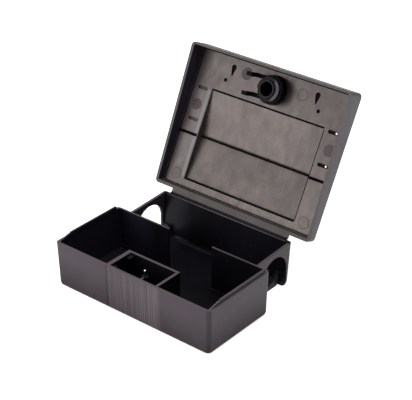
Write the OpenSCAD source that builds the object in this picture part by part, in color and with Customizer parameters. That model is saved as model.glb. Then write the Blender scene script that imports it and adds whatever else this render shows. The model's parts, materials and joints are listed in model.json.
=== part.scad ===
// Mouse bait station with a T-shaped tray, a hinged wedge lid and a key-turned latch.
// Millimetres, +Z up. Origin: in the tray's flat underside, on its plane of symmetry. The hinge is at +Y.
// The lid and its lock are drawn closed and then swung open about the hinge fold.

/* [Tray] */
// Width of the front section
base_w = 135; // [125:1:150]
// Depth of the front section, which holds the two bays
front_d = 63.6; // [61:0.2:66]
// Depth of the whole tray
base_d = 102.5; // [101:0.5:104]
// Width of the rear section, which is the passage
rear_w = 113.6; // [110:0.2:118]
// Height of the tray's rim
base_h = 34.7; // [34:0.1:36]
// Thickness of the tray's walls
wall = 2; // [1.6:0.1:2.4]
// Thickness of the tray's floor
floor_t = 2; // [1.6:0.1:2.4]
// Width of the gap between the two partitions
gap_w = 38; // [34:1:42]

/* [Entry holes] */
// Diameter of the round entry holes
entry_d = 27.4; // [25:0.2:28]
// Distance of their centres from the front face
entry_y = 83.4; // [82.4:0.2:84]
// How far the lower half of each hole is set inwards
entry_step = 7; // [5:0.5:7.5]

/* [Lid] */
// Width of the lid
lid_w = 137.6; // [137.4:0.2:140]
// How far the lid stands out past the tray's front face
lid_front = 4.8; // [4:0.1:6]
// Height of the lid above the rim at its front
lid_h_front = 15.6; // [15:0.1:17]
// Height of the lid above the rim at its hinge
lid_h_rear = 7.7; // [7:0.1:9]
// Thickness of the lid's skirt
skirt = 2.3; // [1.8:0.1:2.4]
// Thickness of the lid's plate
plate_t = 1.8; // [1.6:0.1:2.2]
// Angle of the open lid, measured from closed
open_angle = 114; // [90:1:120]

/* [Lock] */
// Distance of the lock's axis from the plane of symmetry
lock_x = 2.3; // [1:0.1:2.6]
// Distance of the lock's axis from the front face
lock_y = 11.4; // [11.2:0.1:12]
// Radius of the lock barrel
barrel_r = 6.5; // [6:0.1:6.6]
// Radius of the disc under the plate
disc_r = 10.6; // [10:0.1:11]
// Travel of the latch fork
latch_travel = 1.8; // [1.4:0.1:2]

/* [Hidden] */
$fn = 64;
fine = 32;
eps = 0.01;

// Tray
origin_y = base_d - 52;
draft = 0.9;
rear_lean = 2.6;
corner_r = 3;
foot_r = 3;
rear_foot_r = 5;
rear_corner_r = 2;
partition_t = 1.4;
floor_r = 1;
partition_y = front_d - partition_t;
gap_l = -gap_w / 2;
lip_h = 2.6;
lip_t = 1.2;
lip_gap = 0.4;
lip_front = 13;
lip_rear = front_d - 4.5;
ramp_front = 2.5;
side_drop = 1.4;
entry_z = floor_t + 1 + entry_d / 2;
sill_top = entry_z - 6;

// Lock pocket in the tray
pocket_l = -21.6;
pocket_r = 23;
pocket_d = 24.6;
ledge_z = 32.4;
ledge_t = 1.2;
ledge_x = -14.7;
ledge_len = 3.4;
rear_ledge_len = 5.4;
step_w = 1.1;
step_h = 1.4;
rib_x = 8;
rib_len = 2.8;
rib_t = 1.4;
rib_drop = 0.6;
post_r = 2.4;
post_h = 29;
post_y = 13.2;
pin_r = 0.9;
pin_top = 33;
pin_in = 8;

// Hinge
hinge_y = base_d + 1.2;
hinge_z = base_h;
leaf_t = 0.8;
leaf_w = 104;
web_r = 0.5;
stop_gap = 0.3;

// Lid
rim_z = base_h + stop_gap;
lid_y0 = -lid_front;
lid_y1 = base_d - 1.7;
lid_len = lid_y1 - lid_y0;
lid_slope = (lid_h_front - lid_h_rear) / lid_len;
lid_corner = 3;
lid_edge = 1.4;
panel_w = 98;
panel_y0 = 25.5;
panel_y1 = 91.4;
ridge_y = 59.9;
panel_rise = [0.9, 6.4, 2.6];
rib_w = 1.5;
slot_x = 57;
slot_ys = [26.2, 49.6];
slot_len = 8.8;
slot_wd = 2.6;
tear_x = 36.4;
tear_y = 5.4;
tear_r = 2;
tear_tip = 12;
knock_t = 0.5;
slot_vent = 0.7;
vent_x = 1.6;
dot_x = 40.4;
dot_y = 15.7;
dot_r = 1.4;

// Lock, with z measured in the closed position
throw_r = latch_travel / (2 * sin(45));
run_gap = 0.1;
end_play = 0.3;
end_gap = 0.15;
plate_in = base_h + lid_h_front - plate_t - lid_slope * (lock_y - lid_y0);
boss_z = plate_in - 0.9;
boss_r = 9.4;
disc_top = boss_z - end_play;
disc_t = 2.8;
disc_hub = 0.8;
disc_rim = 1.2;
fork_top = disc_top - disc_t - end_play;
fork_t = 4.2;
ring_top = fork_top - fork_t - end_play;
ring_t = 1.4;
ring_r = 8.9;
ring_mouth = 4;
ring_turn = 160;
tip_r = 6.3;
tip_z = plate_in - 12;
bore_r = 5.2;
head_r = 8.4;
head_t = 1.6;
head_z = plate_in + plate_t + 1;
key_sq = 4.6;
web_t = 3;
key_vent = 0.7;
fork_r = 10.2;
fork_back = 9.3;
fork_half = 10;
arm_y = 6.9;
arm_w = 2.8;
prong_x = -12.6;
prong_w = 3;
prong_z = 30.9;
barb = 1.4;
barb_t = 1.2;

// Moves geometry whose y is measured from the tray's front face into the part's frame.
module placed() {
    translate([0, -origin_y, 0]) children();
}

// Swings geometry of the closed lid about the hinge fold to the open position.
module opened() {
    translate([0, hinge_y - origin_y, hinge_z])
        rotate([-open_angle, 0, 0])
            translate([0, -hinge_y, -hinge_z])
                children();
}

// The four corners of one thin layer, for a hull: half width, y from and to, height, radius.
module layer(half, y0, y1, z, r) {
    for (x = [-half + r, half - r], y = [y0 + r, y1 - r])
        translate([x, y, z]) cylinder(h = eps, r = r, $fn = fine);
}

// A drafted tub block with a rounded foot: rim half width and depths, insets at the foot.
module tub(half, y0, y1, side_in, front_in, rear_in, z0, top, r, round_r) {
    hull() {
        for (a = [0, 30, 60, 90]) {
            k = round_r * (1 - sin(a));
            z = z0 + round_r * (1 - cos(a));
            layer(half - side_in - k, y0 + front_in + (front_in > 0 ? k : 0), y1 - rear_in - k, z, r);
        }
        layer(half, y0, y1, top - eps, r);
    }
}

// The T-shaped body, solid or as the cavity.
module tray_outer() {
    tub(base_w / 2, 0, front_d, draft, draft, 0, 0, base_h, corner_r, foot_r);
    tub(
        rear_w / 2, front_d - 2 * corner_r, base_d, 0.3, 0, rear_lean,
        0, base_h, rear_corner_r, rear_foot_r
    );
}

module tray_cavity() {
    tub(
        base_w / 2 - wall, wall, partition_y, draft, draft, 0,
        floor_t, base_h + 1, corner_r - 1, floor_r
    );
    tub(
        rear_w / 2 - wall, front_d, base_d - wall, 0.3, 0, rear_lean,
        floor_t, base_h + 1, rear_corner_r - 1, rear_foot_r - wall
    );
    translate([gap_l, partition_y - 1, floor_t])
        cube([gap_w, wall + 2, base_h]);
}

// A round entry: a bore through wall and sill, and the outer wall's notch from there to the foot.
module entry_cut(side) {
    depth = wall + entry_step + 1;
    notch = side > 0 ? rear_w / 2 - entry_step : -rear_w / 2 - 1;
    translate([side > 0 ? rear_w / 2 + 1 - depth : -rear_w / 2 - 1, entry_y, entry_z])
        rotate([0, 90, 0]) cylinder(h = depth, r = entry_d / 2);
    translate([notch, entry_y - entry_d / 2, -1])
        cube([entry_step + 1, entry_d, entry_z + 1]);
}

// The block that carries the lower half of an entry, set in from the outer wall.
module entry_sill(side) {
    width = wall + entry_step - 1.5;
    x0 = side > 0 ? rear_w / 2 - wall - entry_step : -rear_w / 2 + wall + entry_step - width;
    translate([x0, entry_y - entry_d / 2 - wall, floor_t / 2])
        cube([width, entry_d + 2 * wall, sill_top - floor_t / 2]);
}

// The side walls of the passage fall a little from the rear corners to the front section.
module rim_fall() {
    translate([-base_w, 0, 0])
        rotate([90, 0, 90])
            linear_extrude(2 * base_w)
                polygon([
                    [front_d, base_h - side_drop],
                    [base_d - wall - 1, base_h],
                    [base_d - wall - 1, base_h + 5],
                    [front_d, base_h + 5]
                ]);
}

// The lip that locates the lid on an end wall, with its ramp at the front.
module end_lip(side) {
    lip_out = lid_w / 2 - skirt - lip_gap;
    x0 = side > 0 ? lip_out - lip_t : -lip_out;
    translate([x0, 0, 0])
        rotate([90, 0, 90])
            linear_extrude(lip_t)
                polygon([
                    [ramp_front, base_h - 0.5],
                    [ramp_front, base_h + 0.1],
                    [lip_front - 1.2, base_h + lip_h - 0.7],
                    [lip_front, base_h + lip_h - 0.7],
                    [lip_front, base_h + lip_h],
                    [lip_rear, base_h + lip_h],
                    [lip_rear, base_h - 0.5]
                ]);
}

// The bin that the lock hangs in, with its catch ledges, short rib and post.
module lock_pocket() {
    difference() {
        translate([pocket_l, wall / 2, floor_t / 2])
            cube([pocket_r - pocket_l, pocket_d - wall / 2, base_h - floor_t / 2]);
        translate([pocket_l + wall, 0, floor_t])
            cube([pocket_r - pocket_l - 2 * wall, pocket_d - wall, base_h]);
    }
    translate([pocket_l + wall / 2, wall / 2, base_h - step_h])
        cube([wall / 2 + step_w, pocket_d - wall, step_h]);
    for (ledge = [[wall / 2, ledge_len], [pocket_d - wall - rear_ledge_len, rear_ledge_len]])
        translate([pocket_l + wall / 2, ledge[0], ledge_z])
            cube([ledge_x - pocket_l - wall / 2, ledge[1] + wall / 2, ledge_t]);
    translate([rib_x - rib_t / 2, wall / 2, floor_t / 2])
        cube([rib_t, wall / 2 + rib_len, base_h - rib_drop - floor_t / 2]);
    translate([lock_x, post_y, floor_t / 2])
        cylinder(h = post_h - floor_t / 2, r = post_r);
}

module base_tray() {
    color("#37322f")
        placed() {
            difference() {
                union() {
                    difference() {
                        tray_outer();
                        tray_cavity();
                    }
                    intersection() {
                        tray_outer();
                        union() {
                            for (side = [-1, 1]) entry_sill(side);
                            lock_pocket();
                        }
                    }
                }
                for (side = [-1, 1]) entry_cut(side);
                translate([lock_x, post_y, post_h - pin_in]) cylinder(h = pin_in + 1, r = pin_r);
                rim_fall();
            }
            for (side = [-1, 1]) end_lip(side);
            translate([-leaf_w / 2, base_d - wall, base_h - leaf_t])
                cube([leaf_w, hinge_y - web_r - base_d + wall, leaf_t]);
        }
}

module post_pin() {
    color("#8d8a88")
        placed()
            translate([lock_x, post_y, 0]) {
                translate([0, 0, post_h - pin_in]) cylinder(h = pin_top - post_h + pin_in, r = pin_r);
                translate([0, 0, pin_top])
                    rotate_extrude()
                        intersection() {
                            circle(pin_r);
                            square([pin_r, pin_r]);
                        }
            }
}

module hinge_web() {
    color("#6f6864")
        placed()
            translate([-leaf_w / 2, hinge_y, hinge_z]) {
                rotate([0, 90, 0]) cylinder(h = leaf_w, r = web_r - 0.1);
                translate([0, -web_r, -web_r]) cube([leaf_w, web_r, 0.4]);
            }
}

// Height of the lid's outer top face above the rim plane's zero, at a distance from the front.
function lid_top(y) = base_h + lid_h_front - lid_slope * (y - lid_y0);

// A wedge block under the sloping top, with rounded upright corners and a rounded top edge.
module wedge(inset, drop, z0, round_r) {
    half = lid_w / 2 - inset;
    y0 = lid_y0 + inset;
    y1 = lid_y1 - inset;
    r = max(lid_corner - inset, 0.8);
    hull() {
        layer(half, y0, y1, z0, r);
        for (a = [0, 45, 90]) {
            k = round_r * (1 - cos(a));
            multmatrix([
                [1, 0, 0, 0],
                [0, 1, 0, 0],
                [0, -lid_slope, 1, lid_top(0) - drop - round_r * (1 - sin(a))],
                [0, 0, 0, 1]
            ])
                layer(half - k, y0 + k, y1 - k, -eps, r);
        }
    }
}

// The roof-shaped raised panel, as a bar along X; lift moves it up or down.
module panel(half, y0, y1, lift, base_drop) {
    z = [lid_top(y0), lid_top(ridge_y), lid_top(y1)];
    translate([-half, 0, 0])
        rotate([90, 0, 90])
            linear_extrude(2 * half)
                polygon([
                    [y0, z[0] - base_drop],
                    [y0, z[0] + panel_rise[0] + lift],
                    [ridge_y, z[1] + panel_rise[1] + lift],
                    [y1, z[2] + panel_rise[2] + lift],
                    [y1, z[2] - base_drop]
                ]);
}

// Puts a cutter on the plate's outer face at a distance from the front, with its depth inwards.
module on_plate(x, y) {
    translate([x, y, lid_top(y)])
        rotate([-atan(lid_slope), 0, 0]) children();
}

// A knock-out slot with round ends, along X; those at +X have a small vent.
module slot(x, y) {
    on_plate(x, y) {
        translate([0, 0, -plate_t - 2]) {
            for (s = [-1, 1])
                translate([s * (slot_len - slot_wd) / 2, 0, 0])
                    cylinder(h = plate_t + 2 - knock_t, r = slot_wd / 2);
            translate([-(slot_len - slot_wd) / 2, -slot_wd / 2, 0])
                cube([slot_len - slot_wd, slot_wd, plate_t + 2 - knock_t]);
            if (x > 0)
                translate([vent_x, 0, 0]) cylinder(h = plate_t + 4, r = slot_vent);
        }
    }
}

// A teardrop knock-out whose point faces the hinge.
module teardrop(x) {
    on_plate(x, tear_y)
        translate([0, 0, -plate_t - 2]) {
            cylinder(h = plate_t + 2 - knock_t, r = tear_r);
            linear_extrude(plate_t + 2 - knock_t)
                polygon([
                    [-tear_r, 0.3],
                    [tear_r, 0.3],
                    [0.35, tear_tip - tear_y],
                    [-0.35, tear_tip - tear_y]
                ]);
        }
}

// A small round knock-out.
module dot(x) {
    on_plate(x, dot_y)
        translate([0, 0, -plate_t - 2]) cylinder(h = plate_t + 2 - knock_t, r = dot_r);
}

module lid_shell() {
    color("#57504c")
        opened() {
            difference() {
                union() {
                    difference() {
                        wedge(0, 0, rim_z, lid_edge);
                        wedge(skirt, plate_t, rim_z - 1, 0.6);
                    }
                    panel(panel_w / 2 + plate_t, panel_y0 - plate_t, panel_y1 + plate_t, 0, plate_t / 2);
                    translate([lock_x, lock_y, boss_z])
                        cylinder(h = plate_in - boss_z + plate_t / 2, r = boss_r);
                }
                panel(panel_w / 2, panel_y0, panel_y1, -plate_t, plate_t + 1);
                for (side = [-1, 1], y = slot_ys) slot(side * slot_x, y);
                for (side = [-1, 1]) {
                    teardrop(side * tear_x);
                    dot(side * dot_x);
                }
                translate([lock_x, lock_y, base_h]) cylinder(h = 25, r = barrel_r + run_gap);
            }
            ridge_ribs();
            translate([-leaf_w / 2, lid_y1 - skirt, rim_z])
                cube([leaf_w, hinge_y - web_r - lid_y1 + skirt, leaf_t]);
        }
}

// The rib under the ridge and its two ends on the side margins.
module ridge_ribs() {
    recess_z = lid_top(ridge_y) + panel_rise[1] - plate_t;
    translate([-panel_w / 2 - 0.5, ridge_y - rib_w / 2, recess_z - 1.2])
        cube([panel_w + 1, rib_w, 1.8]);
    for (side = [-1, 1])
        translate([
            side > 0 ? panel_w / 2 + 1 : -lid_w / 2 + skirt / 2,
            ridge_y - rib_w / 2,
            lid_top(ridge_y) - plate_t - 0.7
        ])
            cube([lid_w / 2 - skirt / 2 - panel_w / 2 - 1, rib_w, 1.2]);
}

module lock_barrel() {
    color("#1d1b1c")
        opened()
            translate([lock_x, lock_y, 0])
                difference() {
                    union() {
                        translate([0, 0, head_z]) cylinder(h = head_t, r = head_r);
                        translate([0, 0, fork_top + end_gap])
                            cylinder(h = head_z - fork_top - end_gap + eps, r = barrel_r);
                        translate([throw_r * cos(45), throw_r * sin(45), ring_top + end_gap])
                            cylinder(h = fork_t + end_play + eps, r = barrel_r);
                        translate([0, 0, tip_z])
                            cylinder(h = ring_top - tip_z + end_gap + eps, r = tip_r);
                    }
                    translate([0, 0, tip_z - 1])
                        cylinder(h = head_z - web_t - tip_z, r = bore_r);
                    translate([-key_sq / 2, -key_sq / 2, head_z - web_t + 1])
                        cube([key_sq, key_sq, head_t + web_t]);
                    translate([0, 0, head_z - web_t - 2]) cylinder(h = web_t + 2, r = key_vent);
                }
}

module cam_disc() {
    color("#171516")
        opened()
            translate([lock_x, lock_y, disc_top - disc_t])
                difference() {
                    cylinder(h = disc_t, r = disc_r);
                    translate([0, 0, -1]) cylinder(h = disc_t + 2, r = barrel_r);
                    difference() {
                        translate([0, 0, -eps]) cylinder(h = disc_hub, r = disc_r - disc_rim);
                        translate([0, 0, -1]) cylinder(h = disc_t, r = barrel_r + disc_hub);
                    }
                }
}

module latch_fork() {
    slot_x_half = barrel_r + run_gap;
    slot_y_half = barrel_r + throw_r + end_gap;
    color("#1a1819")
        opened()
            translate([lock_x, lock_y, fork_top - fork_t]) {
                difference() {
                    intersection() {
                        translate([throw_r * cos(45), 0, 0]) cylinder(h = fork_t, r = fork_r);
                        translate([-fork_back, -fork_half, 0]) cube([2 * fork_half, 2 * fork_half, fork_t]);
                    }
                    translate([throw_r * cos(45) - slot_x_half, -slot_y_half + 6, -1])
                        cube([2 * slot_x_half, 2 * slot_y_half - 12, fork_t + 2]);
                    for (y = [-1, 1])
                        translate([throw_r * cos(45), y * (slot_y_half - slot_x_half), -1])
                            cylinder(h = fork_t + 2, r = slot_x_half);
                }
                for (side = [-1, 1]) latch_arm(side);
            }
}

// One arm of the fork with its prong and barb.
module latch_arm(side) {
    px = prong_x - lock_x;
    pz = prong_z - fork_top + fork_t;
    y0 = side * arm_y - arm_w / 2;
    translate([px, y0, 0]) cube([-px - 7, arm_w, fork_t]);
    translate([px, y0, pz]) cube([prong_w, arm_w, -pz + fork_t]);
    translate([px - barb, y0, pz]) cube([barb + 1, arm_w, barb_t]);
}

module retaining_ring() {
    color("#2b292a")
        opened()
            translate([lock_x, lock_y, ring_top - ring_t])
                rotate([0, 0, ring_turn])
                    difference() {
                        cylinder(h = ring_t, r = ring_r);
                        translate([0, 0, -1]) cylinder(h = ring_t + 2, r = tip_r);
                        translate([0, -ring_mouth / 2, -1]) cube([ring_r + 1, ring_mouth, ring_t + 2]);
                    }
}

base_tray();
post_pin();
hinge_web();
lid_shell();
lock_barrel();
cam_disc();
latch_fork();
retaining_ring();
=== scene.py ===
"""Looks of the bait station: black moulded tray and open lid with its lock, on a pale floor."""
import json
import math

import bmesh
import bpy
from mathutils import Matrix, Vector
from mathutils.bvhtree import BVHTree


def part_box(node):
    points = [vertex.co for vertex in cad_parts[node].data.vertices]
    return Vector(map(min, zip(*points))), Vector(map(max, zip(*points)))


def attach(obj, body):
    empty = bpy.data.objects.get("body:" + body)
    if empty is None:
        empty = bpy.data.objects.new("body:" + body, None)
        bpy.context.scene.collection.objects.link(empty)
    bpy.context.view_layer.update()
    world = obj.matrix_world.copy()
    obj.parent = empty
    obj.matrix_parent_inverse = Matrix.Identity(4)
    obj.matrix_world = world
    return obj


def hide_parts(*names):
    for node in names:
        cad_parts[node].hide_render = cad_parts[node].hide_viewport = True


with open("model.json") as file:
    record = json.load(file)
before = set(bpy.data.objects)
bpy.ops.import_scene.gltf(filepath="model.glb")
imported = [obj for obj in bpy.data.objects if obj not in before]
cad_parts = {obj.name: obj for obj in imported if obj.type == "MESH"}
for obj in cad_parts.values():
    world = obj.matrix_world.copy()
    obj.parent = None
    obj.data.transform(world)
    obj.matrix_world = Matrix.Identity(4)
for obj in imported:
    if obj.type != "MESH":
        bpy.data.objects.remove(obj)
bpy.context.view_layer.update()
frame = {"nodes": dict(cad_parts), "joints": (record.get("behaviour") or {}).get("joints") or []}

MM = 0.001
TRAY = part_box("base_tray")
HINGE = next(j for j in frame["joints"] if j["name"] == "lid_hinge")
FOLD = Vector(HINGE["pos_m"])
SHUT = Matrix.Rotation(math.radians(HINGE["range_deg"][1]), 3, "X")

# Heights are measured from the tray's rim, and distances to the rear from the tray's front face.
RIM = FOLD.z
FRONT = TRAY[0][1]

# The inner face of the shut lid's plate: its height above the rim at its start, and its slope to the rear.
PLATE_HEIGHT = 13.8 * MM
PLATE_START = -4.8 * MM
PLATE_SLOPE = 0.07481

# How a CAD mesh is cleaned: what is welded, what counts as flat and which edges are rounded.
WELD = 0.004 * MM
FLAT = math.radians(0.6)
SHARP = math.radians(35.0)
CLEAR = 0.1 * MM

# Noise scales, per metre, of a moulded skin's grain and of its slow waves.
SKIN_SCALE = 2600
WAVE_SCALE = 90


# ---------------------------------------------------------------- materials

class Nodes:
    """A material's node tree with short calls to add and link nodes."""

    def __init__(self, name):
        self.mat = bpy.data.materials.new(name)
        self.mat.use_nodes = True
        self.tree = self.mat.node_tree
        self.tree.nodes.clear()
        self.out = self.add("ShaderNodeOutputMaterial")
        self.shader = self.add("ShaderNodeBsdfPrincipled")
        self.link(self.shader, "BSDF", self.out, "Surface")
        self.coord = self.add("ShaderNodeTexCoord")

    def add(self, kind, **values):
        node = self.tree.nodes.new(kind)
        for key, value in values.items():
            if hasattr(node, key):
                setattr(node, key, value)
            else:
                node.inputs[key.replace("_", " ")].default_value = value
        return node

    def link(self, a, output, b, socket):
        self.tree.links.new(a.outputs[output], b.inputs[socket])

    def mapped(self, scale):
        """Object coordinates in metres, scaled per axis."""
        node = self.add("ShaderNodeMapping")
        node.inputs["Scale"].default_value = scale
        self.link(self.coord, "Object", node, "Vector")
        return node

    def noise(self, scale, detail=3.0, rough=0.5):
        node = self.add("ShaderNodeTexNoise", Scale=1.0, Detail=detail, Roughness=rough)
        self.link(self.mapped(scale), "Vector", node, "Vector")
        return node

    def ramp(self, source, output, stops):
        node = self.add("ShaderNodeValToRGB")
        ramp = node.color_ramp
        while len(ramp.elements) < len(stops):
            ramp.elements.new(0.5)
        for element, (at, value) in zip(ramp.elements, stops):
            element.position = at
            color = value if isinstance(value, tuple) else (value, value, value)
            element.color = (*color, 1)
        self.link(source, output, node, "Fac")
        return node

    def math(self, operation, *values):
        """A math node; each value is a number, a node, or a node and the name of its output."""
        node = self.add("ShaderNodeMath", operation=operation)
        for index, value in enumerate(values):
            if isinstance(value, (int, float)):
                node.inputs[index].default_value = value
            elif isinstance(value, tuple):
                self.tree.links.new(value[0].outputs[value[1]], node.inputs[index])
            else:
                self.tree.links.new(value.outputs["Value"], node.inputs[index])
        return node

    def along(self, axis, start, end):
        """0 to 1 between two object coordinates along one axis, in metres, held outside them."""
        spot = self.add("ShaderNodeSeparateXYZ")
        self.link(self.coord, "Object", spot, "Vector")
        node = self.add("ShaderNodeMapRange")
        self.link(spot, axis, node, "Value")
        node.inputs["From Min"].default_value = start
        node.inputs["From Max"].default_value = end
        return node

    def mixed(self, amount, output, base, base_output, color, blend="MIX"):
        """The base colour mixed by amount with a plain colour."""
        node = self.add("ShaderNodeMix", data_type="RGBA", blend_type=blend)
        self.link(amount, output, node, 0)
        self.link(base, base_output, node, 6)
        node.inputs[7].default_value = (*color, 1)
        return node

    def bump(self, height, output, distance, below=None):
        node = self.add("ShaderNodeBump", Strength=1.0, Distance=distance)
        self.link(height, output, node, "Height")
        if below is not None:
            self.link(below, "Normal", node, "Normal")
        return node


def moulded(
    name, dark, light, rough, grain=0.000012, cloud=28.0, level=0.5, tint=(1, 1, 1),
    wave=0.00004, ior=1.5,
):
    """Moulded black plastic: clouded colour, uneven gloss, and a skin with grain and slow waves."""
    m = Nodes(name)
    clouds = m.noise((cloud,) * 3, detail=4)
    m.colour = m.ramp(clouds, "Fac", ((0.3, dark), (0.7, light)))
    m.link(m.colour, "Color", m.shader, "Base Color")
    smear = m.noise((cloud * 3, cloud * 3, cloud * 0.8), detail=3)
    m.gloss = m.ramp(smear, "Fac", ((0.3, rough[0]), (0.7, rough[1])))
    m.link(m.gloss, "Color", m.shader, "Roughness")
    skin = m.noise((SKIN_SCALE,) * 3, detail=2)
    waves = m.noise((WAVE_SCALE,) * 3, detail=2)
    fine = m.bump(skin, "Fac", grain)
    m.relief = m.bump(waves, "Fac", wave, below=fine)
    m.link(m.relief, "Normal", m.shader, "Normal")
    m.shader.inputs["IOR"].default_value = ior
    m.shader.inputs["Specular IOR Level"].default_value = level
    m.shader.inputs["Specular Tint"].default_value = (*tint, 1)
    return m


def tray_outside():
    """The tray's outer skin, with drag marks on the front where the pocket stiffens it, and at their left
    end a sunk line, bumped in and made near black with painted shade.
    """
    m = moulded(
        "tray_outside", (0.015, 0.0108, 0.0136), (0.022, 0.016, 0.0205), (0.42, 0.5),
        level=0.25, tint=(1.0, 0.84, 0.96),
    )
    spot = m.add("ShaderNodeSeparateXYZ")
    m.link(m.coord, "Object", spot, "Vector")
    face = m.add("ShaderNodeSeparateXYZ")
    m.link(m.coord, "Normal", face, "Vector")
    front = m.math("LESS_THAN", (face, "Y"), -0.9)
    span = 100 * MM
    across = m.math("MULTIPLY_ADD", (spot, "X"), 1 / span, 0.5)

    def stops(*pairs):
        """Ramp stops at millimetres along the front, on a ramp that is span long about x = 0."""
        return [(0.5 + x * MM / span, value) for x, value in pairs]

    band_stops = stops((-20.3, 0.0), (-19.5, 0.5), (6, 0.6), (10, 1.0), (24, 1.0), (26.5, 0.0))
    band = m.ramp(across, "Value", band_stops)
    streaks = m.noise((1000, 20, 5), detail=3, rough=0.65)
    shape = m.ramp(streaks, "Fac", ((0.42, 0.0), (0.6, 1.0)))
    amount = m.math("MULTIPLY", m.math("MULTIPLY", (band, "Color"), front), (shape, "Color"))
    # A sunk line at the pocket's wall: a real dip in the bump, with painted shade making its colour near
    # black.
    sink_shade = m.ramp(across, "Value", stops((-21.5, 0.0), (-20.9, 1.0), (-20.1, 1.0), (-19.5, 0.0)))
    line = m.math("MULTIPLY", (sink_shade, "Color"), front)
    lift = m.mixed(amount, "Value", m.colour, "Color", (0.066, 0.05, 0.058))
    drop = m.mixed(line, "Value", lift, 2, (0.004, 0.003, 0.004))
    m.link(drop, 2, m.shader, "Base Color")
    gloss_up = m.along("Z", 0.0, 26 * MM)
    gloss_up.inputs["To Min"].default_value = 0.06
    gloss_up.inputs["To Max"].default_value = 0.27
    m.link(gloss_up, "Result", m.shader, "Specular IOR Level")
    height = m.math("SUBTRACT", amount, line)
    m.link(m.bump(height, "Value", 0.00006, below=m.relief), "Normal", m.shader, "Normal")
    return m.mat


def tray_inside_shade():
    # Painted shade: the tray's inner faces get a much darker copy of its black plastic.
    m = moulded(
        "tray_inside_shade", (0.0026, 0.0025, 0.0036), (0.0042, 0.004, 0.0058), (0.26, 0.36),
        grain=0.000004, level=0.08, tint=(0.95, 0.92, 1.0),
    )
    # Paler towards the tray's left end.
    paler_left_end = m.mixed(m.along("X", -30 * MM, -44 * MM), "Result", m.colour, "Color", (0.0085, 0.0075, 0.012))
    m.link(paler_left_end, 2, m.shader, "Base Color")
    return m.mat


def fold_black():
    """The fold's matt, worked plastic."""
    m = moulded("fold_black", (0.004, 0.0032, 0.004), (0.008, 0.0065, 0.008), (0.5, 0.65), level=0.12)
    return m.mat


def tray_rim_painted_light():
    # Painted light: a paler copy of the tray's plastic for its lit rim tops.
    m = moulded(
        "tray_rim_painted_light", (0.04, 0.033, 0.037), (0.055, 0.046, 0.051), (0.38, 0.48), tint=(1.0, 0.9, 0.97)
    )
    return m.mat


def lid_inside(name="lid_inside", painted_light_gain=1.0):
    """The lid's inner face, darkened with painted shade towards its top right corner."""
    # painted_light_gain makes a paler copy, used as painted light on the raised panel.
    dark = tuple(painted_light_gain * v for v in (0.022, 0.0186, 0.0176))
    light = tuple(painted_light_gain * v for v in (0.047, 0.0395, 0.0373))
    m = moulded(
        name, dark, light, (0.34, 0.46), cloud=70.0, level=0.44, tint=(1.0, 0.86, 0.83), wave=0.00009
    )
    # Painted shade: a darkening towards the top right corner.
    side, height = m.along("X", 17 * MM, 60 * MM), m.along("Z", 54 * MM, 89 * MM)
    corner_shade = m.math("MULTIPLY", (side, "Result"), (height, "Result"))
    tone = m.mixed(corner_shade, "Value", m.colour, "Color", (0.01, 0.0088, 0.0088))
    specks = m.noise((520, 520, 700), detail=4, rough=0.7)
    amount = m.ramp(specks, "Fac", ((0.38, 0.0), (0.62, 0.34)))
    grained = m.mixed(amount, "Color", tone, 2, (0.25, 0.24, 0.24), blend="MULTIPLY")
    m.link(grained, 2, m.shader, "Base Color")
    scuffs = m.bump(specks, "Fac", 0.00002, below=m.relief)
    m.link(scuffs, "Normal", m.shader, "Normal")
    return m.mat


def knockout_painted_shade():
    """Painted shade on the sunk floors of the knock-outs."""
    m = moulded("knockout_painted_shade", (0.0016, 0.0012, 0.0016), (0.003, 0.0022, 0.0026), (0.5, 0.6), level=0.04)
    return m.mat


def crease_painted_shade():
    """Painted shade along the lid's ribs and corners."""
    m = moulded(
        "crease_painted_shade", (0.0012, 0.0009, 0.001), (0.0024, 0.0017, 0.0018), (0.55, 0.65), level=0.1, ior=1.12
    )
    return m.mat


def lid_glint():
    """A painted highlight on the land beside the raised panel."""
    m = moulded("lid_glint", (0.036, 0.033, 0.038), (0.052, 0.048, 0.056), (0.34, 0.42), level=0.5)
    return m.mat


def lid_rim():
    m = moulded(
        "lid_rim", (0.027, 0.0235, 0.0235), (0.038, 0.033, 0.033), (0.5, 0.6),
        level=0.32, tint=(1.0, 0.9, 0.9),
    )
    return m.mat


def lid_dark():
    """The inner side of the lid's left skirt, which catches little light."""
    m = moulded(
        "lid_dark", (0.0105, 0.0088, 0.015), (0.0155, 0.013, 0.0215), (0.3, 0.4),
        grain=0.000004, level=0.3, tint=(0.95, 0.85, 1.0),
    )
    return m.mat


def lid_mark():
    m = moulded(
        "lid_mark", (0.016, 0.013, 0.013), (0.024, 0.02, 0.02), (0.45, 0.55),
        level=0.3, tint=(1.0, 0.86, 0.83),
    )
    return m.mat


def lid_outside():
    m = moulded(
        "lid_outside", (0.022, 0.019, 0.022), (0.03, 0.026, 0.03), (0.42, 0.5),
        level=0.38, tint=(0.97, 0.88, 1.0),
    )
    return m.mat


def lock_black():
    m = moulded(
        "lock_black", (0.0024, 0.0024, 0.0034), (0.0045, 0.0042, 0.006), (0.2, 0.3),
        grain=0.000004, level=0.22, ior=1.22,
    )
    return m.mat


def fork_black():
    m = moulded(
        "fork_black", (0.0018, 0.0017, 0.0024), (0.0035, 0.0032, 0.0045), (0.3, 0.4),
        level=0.1, ior=1.16,
    )
    return m.mat


def ring_black():
    """The retaining ring, pale with painted light on the side that bears on the fork."""
    m = moulded(
        "ring_black", (0.0022, 0.0021, 0.003), (0.0042, 0.004, 0.0055), (0.3, 0.4),
        level=0.2, ior=1.2,
    )
    # Painted light on the ring's +x side.
    lit_side_paint = m.mixed(m.along("X", 5.5 * MM, 8 * MM), "Result", m.colour, "Color", (0.055, 0.05, 0.06))
    m.link(lit_side_paint, 2, m.shader, "Base Color")
    return m.mat


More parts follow.
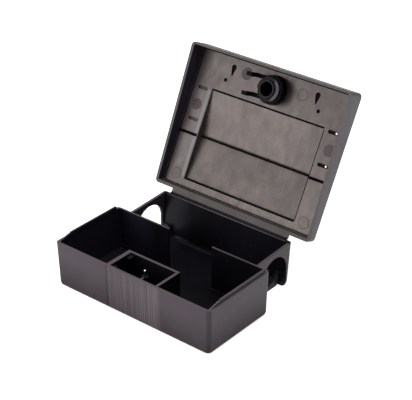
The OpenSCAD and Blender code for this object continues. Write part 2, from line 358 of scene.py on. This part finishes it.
def bright_steel():
    m = Nodes("bright_steel")
    m.shader.inputs["Metallic"].default_value = 1.0
    scratches = m.noise((900, 900, 4000), detail=3)
    colour = m.ramp(scratches, "Fac", ((0.3, (0.5, 0.5, 0.51)), (0.7, (0.62, 0.62, 0.63))))
    m.link(colour, "Color", m.shader, "Base Color")
    gloss = m.ramp(scratches, "Fac", ((0.3, 0.18), (0.7, 0.3)))
    m.link(gloss, "Color", m.shader, "Roughness")
    m.link(m.bump(scratches, "Fac", 0.000004), "Normal", m.shader, "Normal")
    return m.mat


# ---------------------------------------------------------------- pieces

def finished_copy(node, name, bevel):
    """A welded copy of a CAD node's mesh with its flat faces joined and its edges rounded."""
    source = frame["nodes"][node]
    mesh = source.data.copy()
    mesh.name = name
    mesh.materials.clear()
    piece = bpy.data.objects.new(name, mesh)
    bpy.context.scene.collection.objects.link(piece)
    bm = bmesh.new()
    bm.from_mesh(mesh)
    bmesh.ops.remove_doubles(bm, verts=bm.verts, dist=WELD)
    bmesh.ops.dissolve_limit(
        bm, angle_limit=FLAT, use_dissolve_boundaries=False, verts=bm.verts, edges=bm.edges
    )
    for face in bm.faces:
        face.smooth = True
        face.material_index = 0
    bm.to_mesh(mesh)
    bm.free()
    rounding = piece.modifiers.new("edges", "BEVEL")
    rounding.width = bevel
    rounding.segments = 3
    rounding.limit_method = "ANGLE"
    rounding.angle_limit = SHARP
    rounding.use_clamp_overlap = True
    flatten = piece.modifiers.new("flat_faces", "WEIGHTED_NORMAL")
    flatten.mode = "FACE_AREA"
    flatten.weight = 90
    return piece


def is_open_to_outside(tree, centre, normal):
    """True if nothing of the piece stands in front of this face."""
    hit = tree.ray_cast(centre + normal * CLEAR, normal)
    return hit[0] is None


def paint(piece, materials, choose):
    """Gives each face the material whose key choose returns for it."""
    keys = list(materials)
    for key in keys:
        piece.data.materials.append(materials[key])
    for polygon in piece.data.polygons:
        polygon.material_index = keys.index(choose(polygon.center, polygon.normal))


def shut(p):
    """Where a point of the open lid is when the lid is shut."""
    return SHUT @ (p - FOLD) + FOLD


def opened(p):
    """Where a point of the shut lid is when the lid is open."""
    return SHUT.inverted() @ (p - FOLD) + FOLD


def plate_z(y):
    """Height of the plate's inner face in the shut lid, at a distance from the tray's front."""
    return RIM + PLATE_HEIGHT - PLATE_SLOPE * (y - PLATE_START)


def on_plate(x, y, lift=0.0):
    """A point just under the plate of the shut lid, moved to the open lid."""
    return opened(Vector((x, y + FRONT, plate_z(y) - lift)))


def new_piece(name, bm, materials, body):
    mesh = bpy.data.meshes.new(name)
    bm.normal_update()
    bm.to_mesh(mesh)
    bm.free()
    piece = bpy.data.objects.new(name, mesh)
    bpy.context.scene.collection.objects.link(piece)
    for material in materials:
        mesh.materials.append(material)
    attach(piece, body)
    return piece


def make_tray():
    piece = finished_copy("base_tray", "tray_shell", 0.35 * MM)
    tree = BVHTree.FromObject(piece, bpy.context.evaluated_depsgraph_get())
    leaf_y = 45 * MM
    rim_band = RIM - 1.8 * MM
    ledges_x = (-19.8 * MM, -14 * MM)
    pocket_y = -26 * MM

    def choose(centre, normal):
        if normal.z > 0.9 and centre.y > leaf_y:
            return "fold"
        ledge = ledges_x[0] < centre.x < ledges_x[1] and centre.y < pocket_y
        if normal.z > 0.9 and centre.z > rim_band and not ledge:
            return "rim"
        if is_open_to_outside(tree, centre, normal) and normal.z < 0.3:
            return "outside"
        return "inside"

    paints = {"outside": tray_outside(), "inside": tray_inside_shade(), "rim": tray_rim_painted_light(), "fold": fold_black()}
    paint(piece, paints, choose)
    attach(piece, "tray")
    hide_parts("base_tray")


def make_lid():
    """The lid's shell, painted by where each face lies in the shut lid."""
    piece = finished_copy("lid_shell", "lid_shell_body", 0.35 * MM)
    tree = BVHTree.FromObject(piece, bpy.context.evaluated_depsgraph_get())
    skirt_foot = RIM + 1.5 * MM
    hinge_y = 101.5 * MM
    left_skirt_x = -60 * MM
    knockouts_x, knockouts_y = 30 * MM, 53 * MM
    slots_x, front_row_y = 51 * MM, 18 * MM
    panel_x, panel_y = 48 * MM, (25 * MM, 91.5 * MM)

    def choose(centre, normal):
        p, n = shut(centre), SHUT @ normal
        y = p.y - FRONT
        above = p.z - plate_z(y)
        if n.z > 0.2 and is_open_to_outside(tree, centre, normal):
            return "outside"
        # The lid's end face at the fold gets the same painted shade.
        if n.y > 0.5 and y > hinge_y and p.z < skirt_foot:
            return "hole"
        if n.z < -0.8 and p.z < skirt_foot:
            return "rim"
        if abs(n.z) < 0.3 and is_open_to_outside(tree, centre, normal):
            return "outside"
        if n.x > 0.8 and p.x < left_skirt_x:
            return "dark"
        if abs(p.x) > knockouts_x and y < knockouts_y and 0.1 * MM < above < 1.6 * MM:
            if p.x < -slots_x:
                return "mark"
            if p.x > slots_x or y < front_row_y:
                return "hole"
        # The raised panel's inner faces get a paler copy of the inner face as painted light.
        if above > 0.5 * MM and abs(p.x) < panel_x and panel_y[0] < y < panel_y[1] and n.z < -0.6:
            return "panel"
        return "inside"

    paints = {
        "outside": lid_outside(), "inside": lid_inside(), "rim": lid_rim(), "dark": lid_dark(),
        "hole": knockout_painted_shade(), "panel": lid_inside("lid_panel_painted_light", 1.42), "mark": lid_mark(),
    }
    paint(piece, paints, choose)
    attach(piece, "lid")
    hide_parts("lid_shell")


def ring_on_plate(bm, x, y, radius, thin, sunk, steps=48, sides=8):
    """A ring lying in the plate's inner face, so that only its crest stands out."""
    loops = []
    for i in range(steps):
        a = 2 * math.pi * i / steps
        loop = []
        for j in range(sides):
            b = 2 * math.pi * j / sides
            r = radius + thin * math.cos(b)
            lift = thin * math.sin(b) - sunk
            loop.append(bm.verts.new(on_plate(x + r * math.cos(a), y + r * math.sin(a), lift)))
        loops.append(loop)
    for i in range(steps):
        one, two = loops[i], loops[(i + 1) % steps]
        for j in range(sides):
            face = bm.faces.new((one[j], one[(j + 1) % sides], two[(j + 1) % sides], two[j]))
            face.smooth = True


def disc_on_plate(bm, x, y, radius, lift, steps=40):
    """A thin round skin on the plate's inner face."""
    angles = [2 * math.pi * i / steps for i in range(steps)]
    rows = []
    for depth in (lift, -0.2 * MM):
        rows.append([
            bm.verts.new(on_plate(x + radius * math.cos(a), y + radius * math.sin(a), depth)) for a in angles
        ])
    bm.faces.new(rows[0])
    bm.faces.new(list(reversed(rows[1])))
    for i in range(steps):
        k = (i + 1) % steps
        bm.faces.new((rows[0][i], rows[0][k], rows[1][k], rows[1][i]))


def make_ejector_marks():
    """The round witness marks of the mould's ejector pins: x, y and radius in mm, the first three dull."""
    bm = bmesh.new()
    dull = ((58, 38.5, 4.0), (-58, 38.5, 4.0), (-24.4, 6.6, 4.3))
    plain = ((56.8, 90.5, 4.1), (-56.8, 90.5, 4.0), (24.7, 8.4, 4.0))
    for x, y, radius in dull + plain:
        ring_on_plate(bm, x * MM, y * MM, radius * MM, 0.24 * MM, 0.14 * MM)
    ring_on_plate(bm, 0, 93.6 * MM, 2.6 * MM, 0.2 * MM, 0.12 * MM)
    for x, y, radius in dull:
        disc_on_plate(bm, x * MM, y * MM, radius * MM, 0.04 * MM)
    bmesh.ops.recalc_face_normals(bm, faces=bm.faces)
    new_piece("ejector_marks", bm, (lid_mark(),), "lid")


def rod_along_x(bm, x0, x1, y, z, radius, sides=12):
    """A thin round rod from x0 to x1, with y measured from the tray's front."""
    ends = []
    for x in (x0, x1):
        loop = []
        for j in range(sides):
            b = 2 * math.pi * j / sides
            loop.append(bm.verts.new((x, y + FRONT + radius * math.cos(b), z + radius * math.sin(b))))
        ends.append(loop)
    for j in range(sides):
        k = (j + 1) % sides
        bm.faces.new((ends[0][j], ends[0][k], ends[1][k], ends[1][j])).smooth = True
    bm.faces.new(list(reversed(ends[0])))
    bm.faces.new(ends[1])


def plate_strip(bm, x0, x1, y0, y1, lift, rise=(0.0, 0.0)):
    """A thin strip lying on the plate's inner face, or raised above it by rise at its two edges."""
    rows = []
    for x in (x0, x1):
        for y, up in ((y0, rise[0]), (y1, rise[1])):
            for depth in (lift, -0.3 * MM):
                rows.append(bm.verts.new(on_plate(x, y, depth - up)))
    for quad in ((0, 2, 6, 4), (0, 4, 5, 1), (2, 3, 7, 6), (0, 1, 3, 2), (4, 6, 7, 5), (1, 5, 7, 3)):
        bm.faces.new([rows[i] for i in quad])
    bmesh.ops.recalc_face_normals(bm, faces=bm.faces)


def close_prism(bm, loops):
    """Joins two loops of vertices with sides and caps both ends."""
    count = len(loops[0])
    for i in range(count):
        k = (i + 1) % count
        bm.faces.new((loops[0][i], loops[0][k], loops[1][k], loops[1][i]))
    bm.faces.new(loops[0])
    bm.faces.new(list(reversed(loops[1])))
    bmesh.ops.recalc_face_normals(bm, faces=bm.faces)


def make_creases():
    """Dark strips of painted shade where the lid's skirt and raised panel meet its plate."""
    bm = bmesh.new()
    half = 66.2 * MM
    panel = 49 * MM
    thin = 0.05 * MM
    skirt_thin = 0.06 * MM
    ridge_y = 59.0 * MM
    for y0, y1 in ((-2.6, -1.5), (97.4, 98.6)):
        plate_strip(bm, -half, half, y0 * MM, y1 * MM, skirt_thin)
    plate_strip(bm, -panel, panel, 24.3 * MM, 25.6 * MM, thin)
    plate_strip(bm, -panel, panel + 0.2 * MM, 91.3 * MM, 92.6 * MM, thin)
    plate_strip(bm, panel, panel + 0.6 * MM, 26 * MM, 91.5 * MM, thin)
    plate_strip(bm, -panel, panel, ridge_y, ridge_y + 1.8 * MM, thin, rise=(5.2 * MM, 5.2 * MM))
    for x0, x1 in ((-half, -50 * MM), (50 * MM, half)):
        plate_strip(bm, x0, x1, ridge_y, ridge_y + 1.9 * MM, 0.76 * MM)
    plate_strip(bm, -66.3 * MM, -65.0 * MM, -2.4 * MM, 98.4 * MM, skirt_thin)
    # A dark bar at the inner edge of the skirt's rim, as painted shade beneath the skirt.
    corners = ((-3.1, 0.25), (-2.35, 0.25), (-2.35, 0.9), (-3.1, 0.9))
    loops = []
    for x in (-half, half):
        loops.append([bm.verts.new(opened(Vector((x, FRONT + y * MM, RIM + z * MM)))) for y, z in corners])
    close_prism(bm, loops)
    new_piece("lid_crease_shade", bm, (crease_painted_shade(),), "lid")


def make_land_highlights():
    """A painted highlight strip on the land beside the raised panel's left wall, parted by the ridge line.
    """
    bm = bmesh.new()
    for y0, y1 in ((26, 58.6), (61.2, 91.0)):
        plate_strip(bm, -52.2 * MM, -49.8 * MM, y0 * MM, y1 * MM, 0.05 * MM)
    new_piece("panel_land_highlights", bm, (lid_glint(),), "lid")


def make_hinge():
    """The hinge fold, a thin pale rod that paints a highlight along the tray's rear edge, and the film where
    the fold meets the lid.
    """
    piece = finished_copy("hinge_web", "hinge_fold", 0.05 * MM)
    piece.data.materials.append(fold_black())
    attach(piece, "tray")
    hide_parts("hinge_web")
    highlight_half, highlight_y, highlight_r = 53 * MM, 100.6 * MM, 0.3 * MM
    # A thin rod in the rim's paler paint: a painted highlight along the tray's rear edge.
    bm = bmesh.new()
    rod_along_x(bm, -highlight_half, highlight_half, highlight_y, RIM - 0.2 * MM, highlight_r)
    new_piece("rear_edge_highlight", bm, (tray_rim_painted_light(),), "tray")
    film_half = 52 * MM
    corners = ((-0.5, 0.45), (-0.1, 0.62), (-0.1, 1.1), (-0.5, 1.1))
    bm = bmesh.new()
    ends = []
    for x in (-film_half, film_half):
        ends.append([bm.verts.new(opened(FOLD + Vector((x, y * MM, z * MM)))) for y, z in corners])
    close_prism(bm, ends)
    new_piece("fold_film", bm, (fold_black(),), "lid")


def make_lock():
    rows = (
        ("lock_barrel", "lock", 0.3 * MM, lock_black(), "lock_plastic"),
        ("cam_disc", "lock", 0.35 * MM, lock_black(), "lock_plastic"),
        ("latch_fork", "latch", 0.3 * MM, fork_black(), "lock_plastic"),
        ("retaining_ring", "lock", 0.2 * MM, ring_black(), "ring_plastic"),
        ("post_pin", "tray", 0.15 * MM, bright_steel(), "pin_steel"),
    )
    for node, body, bevel, material, slot in rows:
        piece = finished_copy(node, node + "_body", bevel)
        piece.data.materials.append(material)
        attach(piece, body)
        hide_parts(node)


# ---------------------------------------------------------------- stage

def make_floor():
    bm = bmesh.new()
    half = 3.0
    foot = TRAY[0][2]
    ways = ((-1, -1), (1, -1), (1, 1), (-1, 1))
    bm.faces.new([bm.verts.new((x * half, y * half, foot)) for x, y in ways])
    mesh = bpy.data.meshes.new("floor")
    bm.to_mesh(mesh)
    bm.free()
    floor = bpy.data.objects.new("floor", mesh)
    bpy.context.scene.collection.objects.link(floor)
    m = Nodes("pale_floor")
    m.shader.inputs["Base Color"].default_value = (0.8, 0.8, 0.8, 1)
    m.shader.inputs["Roughness"].default_value = 0.8
    m.shader.inputs["Emission Color"].default_value = (1, 1, 1, 1)
    m.shader.inputs["Emission Strength"].default_value = 0.72
    floor.data.materials.append(m.mat)


def make_light(name, position, target, size, power):
    data = bpy.data.lights.new(name, "AREA")
    data.shape = "RECTANGLE"
    data.size, data.size_y = size
    data.energy = power
    lamp = bpy.data.objects.new(name, data)
    bpy.context.scene.collection.objects.link(lamp)
    lamp.location = position
    lamp.rotation_euler = (Vector(target) - Vector(position)).to_track_quat("-Z", "Y").to_euler()


def make_studio():
    world = bpy.data.worlds.new("studio")
    world.use_nodes = True
    background = world.node_tree.nodes["Background"]
    background.inputs["Color"].default_value = (1.0, 0.99, 0.985, 1)
    background.inputs["Strength"].default_value = 0.5
    bpy.context.scene.world = world
    make_light("front_left", (-0.56, -0.99, 0.4), (0, 0.08, 0.08), (1.0, 0.75), 15.0)
    make_light("overhead", (0.1, 0.1, 1.1), (0, 0, 0), (0.9, 0.9), 10.0)


def make_camera():
    """A long lens from the front right, looking down at the station."""
    azimuth = math.radians(39.0)
    elevation = math.radians(29.35)
    roll = math.radians(0.344)
    target = Vector((0.00114, 0.02727, 0.05858))
    distance = 0.94988
    away = Vector((
        math.sin(azimuth) * math.cos(elevation),
        -math.cos(azimuth) * math.cos(elevation),
        math.sin(elevation),
    ))
    data = bpy.data.cameras.new("camera")
    data.sensor_fit = "HORIZONTAL"
    data.sensor_width = 36.0
    data.lens = 121.86
    data.shift_x = 0.0005
    data.shift_y = -0.0012
    data.clip_start = 0.05
    camera = bpy.data.objects.new("camera", data)
    bpy.context.scene.collection.objects.link(camera)
    turn = (-away).to_track_quat("-Z", "Y").to_matrix().to_4x4() @ Matrix.Rotation(roll, 4, "Z")
    camera.matrix_world = Matrix.Translation(target + away * distance) @ turn
    bpy.context.scene.camera = camera


make_camera()
make_studio()
make_floor()
make_tray()
make_lid()
make_ejector_marks()
make_creases()
make_land_highlights()
make_hinge()
make_lock()
bpy.context.scene.view_settings.view_transform = "Standard"
